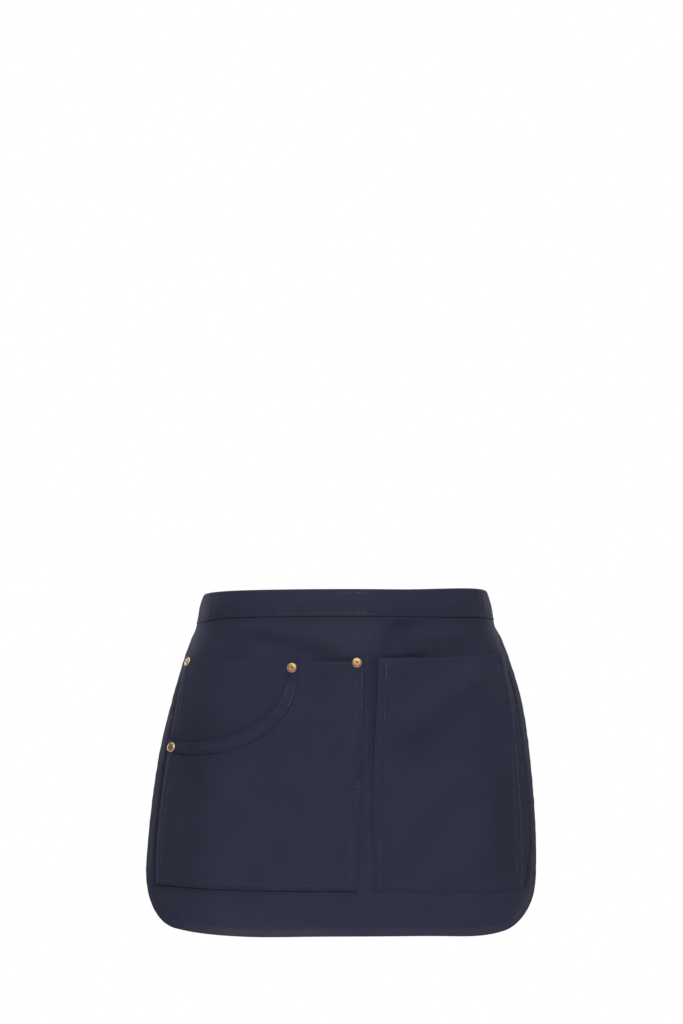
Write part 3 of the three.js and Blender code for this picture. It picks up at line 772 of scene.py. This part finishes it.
BAND_PUFF = 0.5
BAND_LEAN, LEAN_DROP = 2.6, 11
LEFT_DROOP, LEFT_DROOP_SPAN = 0.1, (122, 168)
RIGHT_DRAW, RIGHT_DRAW_SPAN = 0.04, (100, 150)
MIDDLE_LIFT, SIDE_LIFTS = 0.8, (0.8, 4.5)
LIFT_SPAN, LEVEL_SPAN = (50, 165), (200, 330)
BAND_FOOT = BAND_HEIGHT - 0.5
SLOT_SPARE, SLOT_CLOSING, SLOT_DEPTH, SLOT_ROWS = 6, 14, 13, 12
CLOSED_SLOT, SLOT_SHOULDER = 0.2, (8, 14)
PUCKER_STRETCH, PUCKER_SLANT = 1.4, 0.4
BAND_STEP, BACK_STATIONS, FACE_ROWS, FACE_TOP = 2.0, 70, 22, 2

# The band's rounded top: drops below its crest, share of the stand-off left there
TOP_DROPS, TOP_SHARES = (1.2, 0.6, 0.2), (0.95, 0.8, 0.5)


def band_drop(across, drop):
    """The lower edge droops on the left; the top edge rises towards the hips, most on the right."""
    reach = np.abs(across)
    before_back = 1 - ease(reach, *LEVEL_SPAN)
    droop = LEFT_DROOP * ease(-across, *LEFT_DROOP_SPAN)
    deeper = droop - RIGHT_DRAW * ease(across, *RIGHT_DRAW_SPAN)
    lift = MIDDLE_LIFT + np.where(across < 0, *SIDE_LIFTS) * ease(reach, *LIFT_SPAN)
    return drop * (1 + deeper * before_back) - lift * before_back * (1 - drop / BAND_HEIGHT)


def band_foot(across):
    """Where the band's lower edge lies on the pattern."""
    return band_drop(across, BAND_FOOT)


def band_lean(drop):
    """How far the top of the band leans in to the waist."""
    return BAND_LEAN * np.clip(1 - drop / LEAN_DROP, 0, 1) ** 2


def band_slot(across):
    """Half the width of the slot: open for the panel's tucked edge, closed past it."""
    slot_end = panel_half(BAND_HEIGHT) + SLOT_SPARE
    past_panel = ease(np.abs(across), slot_end, slot_end + SLOT_CLOSING)
    return (CLOTH / 2 + GAP) * (1 - past_panel) + CLOSED_SLOT * past_panel


def band_face(across, drop):
    """Stand-off of the band's outer face."""
    middle = np.sin(math.pi * np.clip(drop / BAND_HEIGHT, 0, 1))
    thick = CLOTH + CLOSED_SLOT + (band_slot(across) - CLOSED_SLOT) * ease(drop, *SLOT_SHOULDER)
    waves = ripples(across, drop * PUCKER_SLANT, PUCKER_LENGTH * PUCKER_STRETCH, BAND_SEED)
    puff = (BAND_PUFF + PUCKER_HEIGHT * waves) * middle
    return thick + puff - GROOVE_DEPTH * grooves(drop, BAND_ROWS)


def make_waistband():
    """Up the outer face, over the top, down the inner face and round the slot, all round the waist."""
    back = np.linspace(PANEL_HALF, HALF_LOOP, BACK_STATIONS)
    front = np.arange(-PANEL_HALF, PANEL_HALF + 1, BAND_STEP)
    stations = np.hstack([front, back[1:], -back[1:-1][::-1]])
    face = np.hstack([np.linspace(BAND_FOOT, FACE_TOP, FACE_ROWS), TOP_DROPS])
    at, level = np.meshgrid(stations, face, indexing="ij")
    outer = band_face(at, level)
    outer[:, -len(TOP_SHARES):] *= TOP_SHARES
    inner = -np.minimum(outer, CLOTH + band_slot(at))
    crest = np.zeros((len(stations), 1))
    slot = np.repeat(band_slot(stations)[:, None], SLOT_ROWS, axis=1)
    stand = np.hstack([outer, crest, inner[:, ::-1], -slot, slot])
    slot_drop = np.linspace(BAND_FOOT, BAND_HEIGHT - SLOT_DEPTH, SLOT_ROWS)
    profile = np.hstack([face, 0, face[::-1], slot_drop, slot_drop[::-1]])
    across, drop = np.meshgrid(stations, profile, indexing="ij")
    points = place(across, band_drop(across, drop), stand - band_lean(drop))
    here = np.arange(across.size).reshape(across.shape)
    ahead = np.roll(here, -1, axis=0)
    faces = np.stack([here, ahead, np.roll(ahead, -1, axis=1), np.roll(here, -1, axis=1)], axis=2)
    points, faces = points.reshape(-1, 3), faces.reshape(-1, 4).tolist()
    across, drop = across.ravel(), drop.ravel()
    # The band's cloth carries the table's painted shade and painted highlight
    return finish_mesh("waistband_cloth", points, faces, across, drop, wear=painted_shading(across, drop))


# Stitches

STITCH_PITCH, STITCH_LENGTH, THREAD_RADIUS, THREAD_SIDES = 4, 2.7, 0.3, 6
HEADING_STEP = 0.5
LEAST_RUBBED = 0.35

# Rings of one stitch: place along it, thickness, rise in thread diameters
STITCH_RINGS = [(-0.5, 0.3, -0.32), (-0.38, 0.85, 0.02), (0, 1, 0.16), (0.38, 0.85, 0.02), (0.5, 0.3, -0.32)]

# How many points the seam lines have, and where they begin and end
SIDE_POINTS, POCKET_SIDE_POINTS, HEM_POINTS, LOOP_POINTS, MOUTH_POINTS = 60, 80, 400, 500, 160
HEM_TOP, HEM_END = BAND_HEIGHT + 2, PANEL_HALF - 0.5
MOUTH_TURNS = (0.01, 0.99)
LEFT_ROW_TOPS, RIGHT_ROW_TOPS = (84, POCKET_TOP + MOUTH_FAR[1] + 3), (72, 70)
INNER_ROWS_END = LEFT_ROW_TOPS[1] - 20
TOP_HEM_SPAN = (LEFT_OUTER + 4, -66)


def evenly(path, pitch):
    """Points and headings at an even pitch along a pattern line."""
    length = np.hstack([0, np.cumsum(np.hypot(*np.diff(path, axis=0).T))])

    def point_at(distance):
        return np.stack([np.interp(distance, length, path[:, i]) for i in (0, 1)], axis=1)

    at = np.arange(pitch / 2, length[-1], pitch)
    heading = point_at(at + HEADING_STEP) - point_at(at - HEADING_STEP)
    return point_at(at), unit(heading)


def stitch_row(path, skin, side=1):
    """Points of a row of stitches on a skin, with place on the pattern and paleness, from rubbing and from a
    painted highlight on each stitch's raised middle; side is -1 behind.
    """
    spots, heading = evenly(path, STITCH_PITCH)
    across, drop = spots[:, 0], spots[:, 1]
    stand_off = skin(across, drop)
    centre = place(across, drop, stand_off)
    outward = outward_at(across, drop) * side
    along = unit(place(across + heading[:, 0], drop + heading[:, 1], stand_off) - centre)
    sideways = np.cross(outward, along)
    rings = []
    for position, thickness, rise in STITCH_RINGS:
        radius = THREAD_RADIUS * thickness
        for angle in np.arange(THREAD_SIDES) * 2 * math.pi / THREAD_SIDES:
            rings.append(centre + along * (position * STITCH_LENGTH) + sideways * (radius * math.cos(angle))
                         + outward * (radius * math.sin(angle) + rise * THREAD_RADIUS * 2))
    # Each stitch is paler on its raised middle than at its sunk ends: painted highlight, with painted shade
    # at the ends
    raised = np.repeat([ring[1] for ring in STITCH_RINGS], THREAD_SIDES)
    pale = np.outer(rubbing(across, drop), raised).ravel()
    points = np.stack(rings, axis=1).reshape(-1, 3)
    return np.column_stack([points, np.repeat(spots, len(rings), axis=0), pale])


def rubbing(across, drop):
    """How pale rubbing leaves each stitch, from nought to one."""
    lines = [strength * ridge(points, reach, across, drop) for points, reach, strength in RUBBED]
    uneven = np.random.default_rng(THREAD_SEED).uniform(LEAST_RUBBED, 1, len(across))
    return np.maximum.reduce(lines) * uneven


def make_stitches(name, rows):
    """One mesh of all the stitches of some rows, each a path, its skin and perhaps its side."""
    made = np.vstack([stitch_row(*row) for row in rows])
    across, drop, pale = made[:, 3:].T
    quads, ends = tube(len(STITCH_RINGS), THREAD_SIDES)
    starts = range(0, len(made), len(STITCH_RINGS) * THREAD_SIDES)
    faces = [[start + corner for corner in face] for start in starts for face in quads + ends]
    return finish_mesh(name, made[:, :3], faces, across, drop, rubbed=pale)


def line(across, drop):
    return np.stack([across, drop], axis=1)


def pocket_path(inner_at, outer_at, inset, top_inner, top_outer):
    """Down the inner side, along the bottom and up the outer side, at an inset from the edges."""
    inward = inset if inner_at(POCKET_TOP) < outer_at(POCKET_TOP) else -inset
    feet = inner_at(POCKET_BOTTOM) + inward, outer_at(POCKET_BOTTOM) - inward
    across = np.linspace(*feet, SIDE_POINTS)
    bottom = bottom_edge(across) - inset
    down = np.linspace(top_inner, bottom[0], POCKET_SIDE_POINTS)[:-1]
    up = np.linspace(bottom[-1], top_outer, POCKET_SIDE_POINTS)[1:]
    sides = line(inner_at(down) + inward, down), line(outer_at(up) - inward, up)
    return np.vstack([sides[0], line(across, bottom), sides[1]])


def hem_rows():
    """Down one side, round the corners and up the other side, in front and behind."""
    columns = np.linspace(-HEM_END, HEM_END, HEM_POINTS)
    left_turn, right_turn = (PANEL_LENGTH - height for height in CORNER_HEIGHTS)
    down = np.linspace(HEM_TOP, left_turn, SIDE_POINTS)
    up = np.linspace(right_turn, HEM_TOP, SIDE_POINTS)
    side = np.full(SIDE_POINTS, PANEL_HALF)
    across = np.hstack([-side, columns, side])
    drop = np.hstack([down, panel_bottom(columns), up])
    border = line(lean_out(across, drop), drop)
    heading = np.gradient(border, axis=0)
    path = border + HEM_ROW * unit(line(heading[:, 1], -heading[:, 0]))
    return [(path, panel_front), (path, panel_back, -1)]


def band_skin(row, across, _):
    return band_face(across, np.full_like(across, row)) - band_lean(row)


def band_rows():
    across = np.linspace(-HALF_LOOP, HALF_LOOP, LOOP_POINTS)
    return [(line(across, band_drop(across, row)), partial(band_skin, row)) for row in BAND_ROWS]


def strip_skin(share, across, drop):
    return strip_front(across, drop, np.full_like(across, share))


def strip_rows():
    turn = (math.pi / 2) * (1 - np.linspace(*MOUTH_TURNS, MOUTH_POINTS))
    beside = POCKET_ROWS[0] / STRIP_WIDTH
    return [(line(*mouth_point(turn, share)), partial(strip_skin, share)) for share in (beside, 1 - beside)]


def inner_rows():
    """Along the inner patch's top hem and down its outer side, as far as the mouth shows them."""
    across = np.linspace(*TOP_HEM_SPAN, SIDE_POINTS)
    drop = np.linspace(LEFT_ROW_TOPS[0], INNER_ROWS_END, SIDE_POINTS)
    paths = [line(across, left_top(across) + TOP_HEM_ROW)]
    paths += [line(left_outer_edge(drop) + row, drop) for row in POCKET_ROWS]
    return [(path, inner_front) for path in paths]


def pocket_rows(inner_at, outer_at, tops, skin):
    return [(pocket_path(inner_at, outer_at, row, *tops), skin) for row in POCKET_ROWS]


# Rivets

RIVET_SIDES = 48

# The burr behind the cloth and the cap's dome with its dimple: share of the radius, share of the height
BURR_SHAPE = [(0, 1), (0.5, 0.85), (0.9, 1), (1, 0.6), (1, 0)]
CAP_DOME = [
    (0.95, 0), (0.97, 0.14), (0.97, 0.3), (0.94, 0.48), (0.88, 0.64), (0.8, 0.77), (0.68, 0.86), (0.54, 0.92),
    (0.4, 0.95), (0.31, 0.94), (0.26, 0.88), (0.22, 0.85), (0.18, 0.88), (0.14, 0.95), (0.08, 1), (0, 1.01),
]


def rivet_profile(seat):
    """Radius and stand-off from the burr's back to the top of the cap."""
    burr = -CLOTH / 2 - GAP
    profile = [(BURR_RADIUS * radius, burr - BURR_HEIGHT * height) for radius, height in BURR_SHAPE]
    profile += [(SHANK_RADIUS, burr), (SHANK_RADIUS, seat)]
    return profile + [(CAP_RADIUS * radius, seat + CAP_HEIGHT * height) for radius, height in CAP_DOME]


def make_rivet(name, across, drop, layer):
    across, drop = np.array([float(across)]), np.array([float(drop)])
    seat = LAYERS_UNDER_RIVETS[layer](across, drop)[0] + CLOTH / 2 + GAP / 3
    profile = np.array(rivet_profile(seat))
    foot = place(across, drop, np.zeros(1))[0]
    out = outward_at(across, drop)[0]
    side = unit(np.cross(out, (0, 0, 1)))
    rings_then_tips = np.vstack([np.repeat(profile[1:-1], RIVET_SIDES, axis=0), profile[[0, -1]]])
    radius, height = rings_then_tips.T
    turn = np.arange(len(radius)) * 2 * math.pi / RIVET_SIDES
    round_axis = np.outer(np.cos(turn), side) + np.outer(np.sin(turn), np.cross(out, side))
    points = foot + np.outer(height, out) + radius[:, None] * round_axis
    faces, ends = tube(len(profile) - 2, RIVET_SIDES)
    for tip, end in zip((len(points) - 2, len(points) - 1), ends):
        faces += [(here, beside, tip) for here, beside in zip(end, end[1:] + end[:1])]
    return finish_mesh(name + "_brass", points, faces, radius, height)


# Materials

CLOTH_DARK = (0.0244, 0.0265, 0.0477, 1)
CLOTH_COLOUR = (0.0292, 0.0318, 0.0560, 1)
CLOTH_LIGHT = (0.0350, 0.0379, 0.0655, 1)
# The pale colour for hem wear and painted highlight
CLOTH_WORN_AND_LIT = (0.085, 0.083, 0.09, 1)
SHEEN_TINT = (0.72, 0.76, 1, 1)
THREAD_DARK = (0.018, 0.020, 0.036, 1)
THREAD_COLOUR = (0.029, 0.032, 0.058, 1)
THREAD_WORN_AND_LIT = (0.2, 0.205, 0.235, 1)
BRASS_DARK = (0.22, 0.11, 0.045, 1)
BRASS_FACE = (0.39, 0.212, 0.078, 1)
BRASS_WORN_AND_LIT_RIM = (0.48, 0.43, 0.33, 1)
BRASS_HOLLOW = (0.2, 0.1, 0.04, 1)

# Scales of the textures, per metre of cloth or metal, and how much each tints the cloth
RIB_SCALE, SLUB_SCALE, DYE_SCALE, THREAD_SCALE, TARNISH_SCALE = 263.87, 900, 28, 160, 420
RIB_TINT, SLUB_TINT, DYE_TINT = 0.06, 0.55, 0.3
SLUB_RELIEF, WEAVE_BUMP, WEAVE_DEPTH = 0.5, 0.14, 0.0002

# The cap's pale rim and brown hollow, in shares of its radius
RIM_SPAN, HOLLOW_SPAN = (0.64, 0.95), (0.32, 0.14)
DULL, POLISHED = 0.55, 0.36


def principled(name):
    material = bpy.data.materials.new(name)
    material.use_nodes = True
    tree = material.node_tree
    return material, tree, tree.nodes["Principled BSDF"]


def feed(tree, made, inputs):
    """Links each named input to another node's output, or sets its plain value."""
    for name, source in inputs.items():
        if isinstance(source, bpy.types.NodeSocket):
            tree.links.new(source, made.inputs[name])
        else:
            made.inputs[name].default_value = source


def node(tree, kind, inputs, **settings):
    made = tree.nodes.new("ShaderNode" + kind)
    for name, value in settings.items():
        setattr(made, name, value)
    feed(tree, made, inputs)
    return made


def calculate(tree, operation, *sources):
    return node(tree, "Math", dict(enumerate(sources)), operation=operation).outputs[0]


def noise(tree, vector, scale, detail):
    inputs = {"Vector": vector, "Scale": scale, "Detail": detail}
    return node(tree, "TexNoise", inputs).outputs["Fac"]


def blend(tree, factor, first, second):
    inputs = {"Factor": factor, "A": first, "B": second}
    return node(tree, "Mix", inputs, data_type="RGBA").outputs["Result"]


def ramp(tree, value, *stops):
    """Colours by value; each stop is a position and its colour."""
    made = node(tree, "ValToRGB", {"Fac": value})
    elements = made.color_ramp.elements
    elements[0].position, elements[0].color = stops[0]
    elements[1].position, elements[1].color = stops[-1]
    for position, colour in stops[1:-1]:
        elements.new(position).color = colour
    return made.outputs["Color"]


def pattern_place(tree):
    return node(tree, "UVMap", {}, uv_map="pattern").outputs["UV"]


def attribute(tree, name):
    return node(tree, "Attribute", {}, attribute_name=name).outputs["Fac"]


def cloth_material(name):
    """Twill: fine slanting ribs, uneven dye, paler with hem wear and painted highlight, darker with painted
    shade, and a soft nap.
    """
    material, tree, shader = principled(name)
    pattern = pattern_place(tree)
    slanting = {"Vector": pattern, "Scale": RIB_SCALE, "Distortion": 0.6, "Detail": 1}
    ribs = node(tree, "TexWave", slanting, bands_direction="DIAGONAL").outputs["Fac"]
    slubs = noise(tree, pattern, SLUB_SCALE, 3)
    dye = noise(tree, pattern, DYE_SCALE, 4)
    uneven = calculate(tree, "MULTIPLY_ADD", dye, DYE_TINT, calculate(tree, "MULTIPLY", ribs, RIB_TINT))
    uneven = calculate(tree, "MULTIPLY_ADD", slubs, SLUB_TINT, uneven)
    tone = ramp(tree, uneven, (0.25, CLOTH_DARK), (0.5, CLOTH_COLOUR), (0.8, CLOTH_LIGHT))
    # This attribute pales the cloth for wear and painted highlight, and darkens it for painted shade
    wear = attribute(tree, "wear")
    paled = blend(tree, wear, tone, CLOTH_WORN_AND_LIT)
    darker = calculate(tree, "ADD", calculate(tree, "MINIMUM", wear, 0), 1)
    tinted = node(tree, "VectorMath", {"Vector": paled, "Scale": darker}, operation="SCALE")
    relief = calculate(tree, "MULTIPLY_ADD", slubs, SLUB_RELIEF, ribs)
    bump = node(tree, "Bump", {"Strength": WEAVE_BUMP, "Distance": WEAVE_DEPTH, "Height": relief})
    feed(tree, shader, {
        "Base Color": tinted.outputs["Vector"],
        "Normal": bump.outputs["Normal"],
        "Roughness": 0.9,
        "Specular IOR Level": 0.1,
        "Sheen Weight": 0.05,
        "Sheen Roughness": 0.45,
        "Sheen Tint": SHEEN_TINT,
    })
    return material


def thread_material():
    """Sewing thread of the cloth's own colour, paler where rubbing wears it and where a painted highlight
    lies on the stitches' raised middles.
    """
    material, tree, shader = principled("sewing_thread")
    uneven = noise(tree, pattern_place(tree), THREAD_SCALE, 2)
    tone = ramp(tree, uneven, (0.35, THREAD_DARK), (0.65, THREAD_COLOUR))
    colour = blend(tree, attribute(tree, "rubbed"), tone, THREAD_WORN_AND_LIT)
    feed(tree, shader, {"Base Color": colour, "Roughness": 0.85, "Specular IOR Level": 0.1})
    return material


def cap_zone(tree, radius, span):
    """Nought to one as the radius goes through a span of the cap."""
    start, end = (share * CAP_RADIUS * MM for share in span)
    zone = node(tree, "MapRange", {"Value": radius, "From Min": start, "From Max": end})
    return zone.outputs["Result"]


def brass_material():
    """Aged brass: a coppery face, brown in the hollow, and a paler rim, partly worn and partly a painted
    highlight.
    """
    material, tree, shader = principled("aged_brass")
    tarnish = noise(tree, node(tree, "TexCoord", {}).outputs["Object"], TARNISH_SCALE, 5)
    tone = ramp(tree, tarnish, (0.3, BRASS_DARK), (0.66, BRASS_FACE))
    radius = node(tree, "SeparateXYZ", {"Vector": pattern_place(tree)}).outputs["X"]
    # The pale rim: partly wear, partly painted highlight
    rubbed = blend(tree, cap_zone(tree, radius, RIM_SPAN), tone, BRASS_WORN_AND_LIT_RIM)
    colour = blend(tree, cap_zone(tree, radius, HOLLOW_SPAN), rubbed, BRASS_HOLLOW)
    rough = node(tree, "MapRange", {"Value": tarnish, "To Min": DULL, "To Max": POLISHED})
    feed(tree, shader, {"Base Color": colour, "Roughness": rough.outputs["Result"], "Metallic": 1})
    return material


# Assembly

def dress(piece, material, slot, *nodes):
    piece.data.materials.append(material)
    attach(piece, "root")
    if nodes:
        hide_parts(*nodes)
    return piece


def add_cloth(make, look, slot, cad_node, seam, rows, **sheet):
    """A cloth piece in place of its CAD node, with its stitches."""
    piece = dress(make(), look, slot, cad_node)
    stitches = dress(make_stitches(seam, rows), thread_look, slot)


thread_look = thread_material()
brass_look = brass_material()
panel_look = cloth_material("panel_twill"), "panel_cloth"
band_look = cloth_material("band_twill"), "band_cloth"
pocket_look = cloth_material("pocket_twill"), "pocket_cloth"
left_rows = pocket_rows(left_inner_edge, left_outer_edge, LEFT_ROW_TOPS, outer_front)
right_rows = pocket_rows(right_inner_edge, right_outer_edge, RIGHT_ROW_TOPS, right_front)

add_cloth(make_panel, *panel_look, "apron_panel", "hem_stitches", hem_rows(),
          flat=(0.436, 0.34), held="hung", rests_on=["waistband"])
add_cloth(make_waistband, *band_look, "waistband", "band_stitches", band_rows(),
          flat=(0.81, 0.056), held="folded", rests_on=["apron_panel"])
add_cloth(make_left_inner, *pocket_look, "pocket_left_inner", "inner_pocket_stitches", inner_rows(),
          flat=(0.222, 0.262), held="hung", rests_on=["apron_panel"])
add_cloth(make_left_outer, *pocket_look, "pocket_left_outer", "left_pocket_stitches", left_rows,
          flat=(0.222, 0.25), area=0.046, held="hung", rests_on=["pocket_left_inner"])
add_cloth(make_mouth_band, *pocket_look, "mouth_band", "mouth_band_stitches", strip_rows(),
          flat=(0.205, 0.012), held="hung", rests_on=["pocket_left_outer"])
add_cloth(make_right, *pocket_look, "pocket_right", "right_pocket_stitches", right_rows,
          flat=(0.172, 0.262), held="hung", rests_on=["apron_panel"])
for cad_node, *where in RIVETS:
    dress(make_rivet(cad_node, *where), brass_look, "rivet_brass", cad_node)


# Floor, light and camera

WHITE, FLOOR_COLOUR = (1, 1, 1, 1), (0.85, 0.85, 0.86, 1)
FLOOR_HEIGHT, FLOOR_RADIUS, FLOOR_SIDES = -1.05, 2.4, 96
ROOM_LIGHT, ROOM_GLOSS = 0.06, 0.5

# Soft lights: name, place, aim, size, watts, spread in degrees
LIGHTS = [
    ("key_light", (0.25, -3.6, 1.6), (0, -0.1, -1.1), (1.3, 1.3), 13.6, 60),
    ("overhead_light", (0, -0.4, 2.6), (0, -0.4, 0), (4, 4), 80, 180),
    ("left_rim_light", (-1.3, 1.2, 0), (0, 0, -0.17), (0.6, 1.2), 15, 180),
    ("right_rim_light", (1.3, 1.6, 0), (0, 0, -0.17), (0.6, 1.2), 14, 180),
    ("back_light", (0, 2.4, 0.7), (0, 0, -0.17), (1, 1), 30, 180),
]

# The camera: place, tilt up in degrees, focal length in pixels of a frame this high, sensor in millimetres
EYE, EYE_TILT = (-0.004, -2.5, -0.19), 6.3735
FOCAL_PIXELS, FRAME_PIXELS, SENSOR = 2396, 1024, 36


def make_floor():
    bpy.ops.mesh.primitive_circle_add(vertices=FLOOR_SIDES, radius=FLOOR_RADIUS, fill_type="NGON",
                                      location=(0, 0, FLOOR_HEIGHT))
    floor = bpy.context.object
    floor.name = "studio_floor"
    material, tree, shader = principled("pale_floor")
    feed(tree, shader, {"Base Color": FLOOR_COLOUR, "Roughness": 0.8})
    floor.data.materials.append(material)


def make_light(name, place_at, aim, size, watts, spread):
    light = bpy.data.lights.new(name, "AREA")
    light.shape = "RECTANGLE"
    light.size, light.size_y = size
    light.energy = watts
    light.spread = math.radians(spread)
    lamp = add_object(name, light)
    lamp.location = place_at
    lamp.rotation_euler = (Vector(aim) - lamp.location).to_track_quat("-Z", "Y").to_euler()


def make_world():
    """A faint room light; the camera sees the room white, and shiny metal half white."""
    world = bpy.data.worlds.new("studio")
    world.use_nodes = True
    tree = world.node_tree
    room = tree.nodes["Background"]
    feed(tree, room, {"Color": WHITE, "Strength": ROOM_LIGHT})
    seen = node(tree, "Background", {"Color": WHITE})
    ray = node(tree, "LightPath", {}).outputs
    white = calculate(tree, "MULTIPLY_ADD", ray["Is Glossy Ray"], ROOM_GLOSS, ray["Is Camera Ray"])
    mix = node(tree, "MixShader", {"Fac": white, 1: room.outputs[0], 2: seen.outputs[0]})
    feed(tree, tree.nodes["World Output"], {"Surface": mix.outputs[0]})
    bpy.context.scene.world = world


def make_camera():
    camera = bpy.data.cameras.new("camera")
    camera.sensor_fit = "VERTICAL"
    camera.sensor_height = SENSOR
    camera.lens = SENSOR * FOCAL_PIXELS / FRAME_PIXELS
    eye = add_object("camera", camera)
    eye.location = EYE
    eye.rotation_euler = (math.radians(90 + EYE_TILT), 0, 0)
    bpy.context.scene.camera = eye


make_floor()
make_world()
for light_row in LIGHTS:
    make_light(*light_row)
make_camera()
bpy.context.scene.view_settings.view_transform = "Standard"
